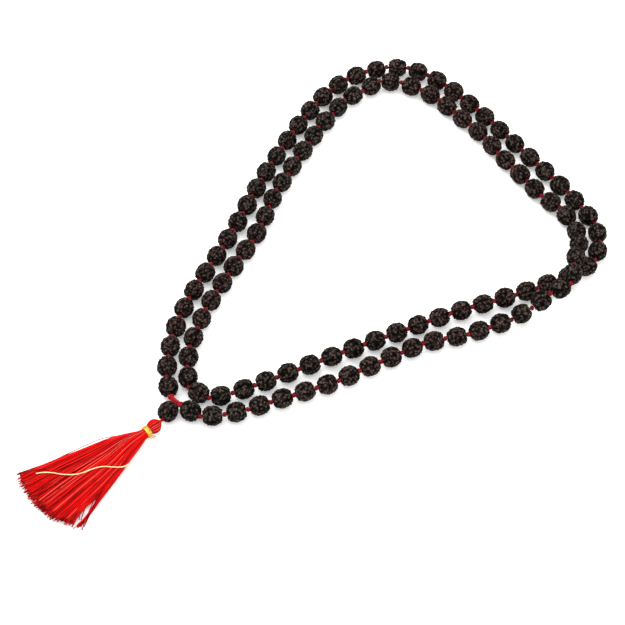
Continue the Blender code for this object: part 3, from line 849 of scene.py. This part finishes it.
def make_thread(name, runs, knots, trees, material):
    """The thread through these runs of beads, with its knots, as one piece."""
    lines, places, turns = [], [], []
    for first, last in runs:
        lines.append([knots[k] for k in range(first, last + 1)])
        for k in range(first + 1, last + 1):
            if k == last and last == BEAD_COUNT:
                continue
            places.append(knots[k])
            turns.append(euler_of(knot_axis(knots, k), 1.7 * k))
    cord = grow(name, lines_mesh(name, lines), trees["cord"], material,
                Radius=THREAD_DIAMETER / 2, Step=0.6 * MM, Twist=TWIST)
    tied = grow(name + "_knots", points_mesh(name, places, turn=turns), trees["knot"],
                material, Across=KNOT_DIAMETER, Long=KNOT_LENGTH + 0.2 * MM,
                Radius=STRAND_KNOT_CORD)
    return join([cord, tied], name)


def ride(obj, body, slot, *nodes):
    """Put a piece on the body that it moves with, and hide the solids that it stands for; its
    finish, slot, is not used.
    """
    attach(obj, body)
    if nodes:
        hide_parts(*nodes)
    return obj


def run_name(first, last):
    return "strand_%03d_%03d" % (first + 1, last)


def build_strand(knots, trees, materials):
    """Each body's seeds and knotted thread, and the single seeds that turn on it."""
    for body, runs in RUNS.items():
        zone = body[:-5]
        fixed = []
        for first, last in runs:
            free = [] if zone == "crossing" else [first + p for p in FREE_BEADS[last - first]]
            fixed += [b for b in range(first, last) if b not in free]
            for bead in free:
                seed = make_seeds("rudraksha_%03d" % (bead + 1), trees["seed"],
                                  materials["seed"], [bead], knots)
                node = "bead_%03d" % (bead + 1)
                ride(seed, node + "_body", "seed", node)
        nodes = [run_name(*run) for run in runs]
        seeds = make_seeds(zone + "_rudraksha", trees["seed"], materials["seed"], fixed, knots)
        ride(seeds, body, "seed", *nodes)
        cord = make_thread(zone + "_knotted_thread", runs, knots, trees, materials["thread"])
        ride(cord, body, "thread", *nodes)


def build_guru(knots, guru, trees, materials):
    """The guru bead, its cord, and the strand's ends laid together above it."""
    heading = np.array([math.cos(GURU_HEADING), math.sin(GURU_HEADING), 0])
    ends = np.array([guru - heading * PITCH / 2, guru + heading * PITCH / 2])
    seed = make_seeds("guru_rudraksha", trees["seed"], materials["seed"], [0], ends,
                      GURU_DIAMETER, CORD_DIAMETER / 2 + BORE_CLEARANCE)
    ride(seed, "guru_body", "seed", "guru_bead")

    line = [guru - heading * GURU_HALF, guru, guru + heading * (GURU_HALF + 0.2 * MM)]
    cord = grow("guru_bore_cord", lines_mesh("guru_bore_cord", [line]), trees["cord"],
                materials["thread"], Radius=CORD_DIAMETER / 2, Step=0.4 * MM, Twist=TWIST)
    ride(cord, "corner_zone", "thread", "guru_cord")

    mouth = guru - heading * (GURU_HALF + GAP + BUNDLE_DIAMETER / 2)
    start = knots[0] + unit(knots[1] - knots[0]) * KNOT_LENGTH / 2
    end = knots[-1] + unit(knots[-2] - knots[-1]) * KNOT_LENGTH / 2
    middle = smooth_curve([start, knots[0], mouth, knots[-1], end], 8)
    lines = []
    ply = BUNDLE_DIAMETER * 0.2
    for k in range(PLIES):
        line = []
        for i, point in enumerate(middle):
            axis = unit(middle[min(i + 1, len(middle) - 1)] - middle[max(i - 1, 0)])
            side, up = frame_on(axis)
            turn = k * 2 * math.pi / PLIES + 0.5 * math.sin(4.0 * i / len(middle))
            off = 1.42 * ply
            line.append(point + off * (math.cos(turn) * side + math.sin(turn) * up))
        lines.append(line)
    bundle = grow("strand_ends", lines_mesh("strand_ends", lines), trees["cord"],
                  materials["ends"], Radius=ply, Step=0.4 * MM, Twist=TWIST)
    tied = [knots[0], knots[-1]]
    turns = [euler_of(unit(knots[1] - knots[0]), 0.4),
             euler_of(unit(knots[-2] - knots[-1]), 2.0)]
    ties = grow("end_knots", points_mesh("end_knots", tied, turn=turns), trees["knot"],
                materials["ends"], Across=KNOT_DIAMETER * 1.3, Long=KNOT_LENGTH * 1.2,
                Radius=END_KNOT_CORD)
    ride(join([bundle, ties], "strand_ends"), "corner_zone", "thread", "strand_end_bundle")


def lathe(name, profile, sides=48):
    """A closed solid turned round the X axis from (x, radius) pairs."""
    points, faces = [], []
    for x, r in profile:
        for k in range(sides):
            a = 2 * math.pi * k / sides
            points.append((x, r * math.cos(a), r * math.sin(a)))
    for i in range(len(profile) - 1):
        for k in range(sides):
            n = (k + 1) % sides
            faces.append((i * sides + k, (i + 1) * sides + k, (i + 1) * sides + n,
                          i * sides + n)[::-1])
    faces.append(tuple(range(sides))[::-1])
    faces.append(tuple((len(profile) - 1) * sides + k for k in range(sides)))
    mesh = bpy.data.meshes.new(name)
    mesh.from_pydata(points, [], faces)
    # The darkest silk tone: painted shade where the solid shows between the threads.
    attribute = mesh.attributes.new("tone", "FLOAT", "POINT")
    attribute.data.foreach_set("value", np.full(len(points), 0.1, np.float32))
    return mesh


def build_tassel(guru, trees, materials):
    """Neck, head, binding, skirt and the loose gold thread."""
    heading = np.array([math.cos(GURU_HEADING), math.sin(GURU_HEADING), 0])
    neck_at = guru + heading * (GURU_HALF + GAP + NECK_DIAMETER / 2)
    at_neck = Matrix.Translation(neck_at.tolist()) @ Matrix.Rotation(TASSEL_HEADING, 4, "Z")

    def settle(obj):
        """Turn a piece made along the X axis to hang from the neck."""
        obj.data.transform(at_neck)
        return obj

    # The neck: a cord wound round with three turns of silk.
    turned_back = Matrix.Rotation(GURU_HEADING - TASSEL_HEADING, 3, "Z")
    core = [turned_back @ Vector((-0.75 * MM, 0, 0)), Vector((0, 0, 0)),
            Vector((0.95 * MM, 0, 0))]
    neck = grow("neck_core", lines_mesh("neck_core", [core]), trees["cord"],
                materials["silk"], Radius=0.42 * MM, Step=0.2 * MM, Twist=TWIST)
    wound = grow("neck_winding", lines_mesh("no_extra", []), trees["winding"],
                 materials["silk"], Start=-0.62 * MM, Long=1.24 * MM, Turns=3.0,
                 Across=NECK_DIAMETER * 0.93, Radius=0.2 * MM, Twist=TWIST)
    ride(settle(join([neck, wound], "neck_whipping")), "neck_body", "silk", "tassel_neck")

    # The head: silk over a round core, which takes the darkest silk tone as painted shade between
    # the threads.
    profile = [(HEAD_START, 0.2 * MM)]
    for t in np.linspace(0.25, HEAD_SWEEP, 14):
        profile.append((HEAD_START + HEAD_LENGTH * (1 - math.cos(t)) / (1 - math.cos(HEAD_SWEEP)),
                        (HEAD_DIAMETER / 2 - 0.3 * MM) * math.sin(t)))
    head = grow("head_silk", lathe("head_core", profile), trees["head"], materials["silk"],
                Start=HEAD_START, Long=HEAD_LENGTH, Across=HEAD_DIAMETER,
                Threads=HEAD_THREADS, Radius=0.15 * MM, Seed=11)
    ride(settle(head), "tassel_body", "silk", "tassel_head")

    # The binding, with its loose ends.
    ends = []
    for x, angle, out in ((0.45, -0.45, 1.3), (0.9, -0.75, 1.6), (1.9, -0.6, 1.1)):
        line = []
        for s in np.linspace(0, 1, 8):
            a = angle - 0.9 * (1 - s)
            r = BAND_DIAMETER / 2 - 0.25 * MM + out * MM * s * s
            line.append((BAND_START + x * MM - 0.8 * MM * s * s, r * math.cos(a),
                         r * math.sin(a)))
        ends.append(line)
    loose = grow("binding_ends", lines_mesh("binding_ends", ends), trees["cord"],
                 materials["gold"], Radius=0.16 * MM, Step=0.2 * MM, Twist=TWIST)
    wound = grow("binding_turns", lines_mesh("no_extra", []), trees["winding"],
                 materials["gold"], Start=BAND_START, Long=BAND_LENGTH, Turns=4.0,
                 Across=BAND_DIAMETER, Radius=0.3 * MM, Twist=TWIST)
    ride(settle(join([wound, loose], "gold_binding")), "tassel_body", "gold", "gold_band")

    skirt = grow("silk_skirt", lines_mesh("no_extra", []), trees["skirt"],
                 materials["silk"], Start=HEAD_END - 0.4 * MM, Fan=SKIRT_FAN,
                 Long=SKIRT_LENGTH, Stub=STUB_RADIUS, Width=SKIRT_WIDTH,
                 EndHeight=SKIRT_END_HEIGHT, Lift=SKIRT_LIFT, Seat=GURU_SEAT,
                 Ragged=2.4 * MM, Wander=0.45 * MM, Threads=SKIRT_THREADS,
                 Strays=SKIRT_STRAYS, Radius=SKIRT_THREAD_RADIUS, Seed=23)
    ride(settle(skirt), "tassel_body", "silk", "tassel_skirt")

    off = GOLD_LIFT + GOLD_DIAMETER / 2
    route = [skirt_point(x * MM, math.radians(t), off) for x, t in GOLD_ROUTE[1:]]
    path = [at_neck @ Vector(p) for p in smooth_curve(route, 8)]
    gold = grow("loose_gold_thread", lines_mesh("loose_gold_thread", [path]), trees["cord"],
                materials["pale_gold"], Radius=GOLD_DIAMETER / 2, Step=0.3 * MM, Twist=TWIST)
    ride(gold, "tassel_body", "gold", "gold_thread")


# ---- Floor, light and camera ---------------------------------------------------------
def aim(obj, at):
    obj.rotation_euler = (Vector(at) - obj.location).to_track_quat("-Z", "Y").to_euler()


def build_stage():
    mesh = bpy.data.meshes.new("floor")
    mesh.from_pydata([(-3, -3, 0), (3, -3, 0), (3, 3, 0), (-3, 3, 0)], [], [(0, 1, 2, 3)])
    floor = bpy.data.objects.new("floor", mesh)
    bpy.context.scene.collection.objects.link(floor)
    floor.location.z = FLOOR_HEIGHT
    made, _, shader, _ = new_material("pale_floor", Roughness=0.9, Specular_IOR_Level=0.1)
    shader.inputs["Base Color"].default_value = (0.93, 0.93, 0.93, 1)
    shader.inputs["Emission Color"].default_value = (1, 1, 1, 1)
    shader.inputs["Emission Strength"].default_value = 0.22
    mesh.materials.append(made)

    world = bpy.data.worlds.new("studio")
    bpy.context.scene.world = world
    world.use_nodes = True
    world.node_tree.nodes["Background"].inputs["Color"].default_value = (1, 1, 1, 1)
    world.node_tree.nodes["Background"].inputs["Strength"].default_value = 0.8
    middle = (0.05, 0.04, 0)
    for name, place, size, power in (
            ("key", (-0.35, 0.45, 0.75), 0.7, 8.0), ("fill", (0.6, -0.5, 0.6), 0.9, 4.0),
            ("top", (0.05, 0.05, 1.1), 1.1, 7.0)):
        light = bpy.data.lights.new(name, "AREA")
        light.size, light.energy = size, power
        lamp = bpy.data.objects.new(name, light)
        bpy.context.scene.collection.objects.link(lamp)
        lamp.location = place
        aim(lamp, middle)


def build_camera():
    camera = bpy.data.cameras.new("camera")
    camera.sensor_width, camera.lens = 36, 115.0
    camera.clip_start = 0.01
    obj = bpy.data.objects.new("camera", camera)
    bpy.context.scene.collection.objects.link(obj)
    centre, tilt, distance = Vector((0.0548, 0.0446, 0.0041)), math.radians(57), 0.782
    obj.location = centre + distance * Vector((0, -math.cos(tilt), math.sin(tilt)))
    aim(obj, centre)
    bpy.context.scene.camera = obj
    bpy.context.scene.view_settings.view_transform = "Standard"


def main():
    build_camera()
    materials = {
        "seed": seed_material(), "silk": silk_material(),
        "thread": thread_material("crimson_cotton", (0.24, 0.005, 0.010, 1),
                                  (0.42, 0.014, 0.020, 1)),
        # The strand's ends are the same cotton as the knotted thread, in a copy with lighter
        # colours: painted light.
        "ends": thread_material("cotton_painted_lighter", (0.42, 0.006, 0.012, 1),
                                (0.72, 0.030, 0.035, 1)),
        "gold": gold_material("gilt_thread", (0.95, 0.68, 0.10, 1), (0.42, 0.27, 0.03, 1),
                              0.6),
        "pale_gold": gold_material("pale_gilt_thread", (1.0, 0.72, 0.40, 1),
                                   (0.85, 0.50, 0.20, 1), 0.35),
    }
    trees = {"seed": seed_tree(), "cord": cord_tree(), "knot": knot_tree(),
             "winding": winding_tree(), "head": head_tree(), "skirt": skirt_tree()}
    knots, guru = lay_strand()
    build_tassel(guru, trees, materials)
    build_guru(knots, guru, trees, materials)
    build_strand(knots, trees, materials)
    build_stage()


main()
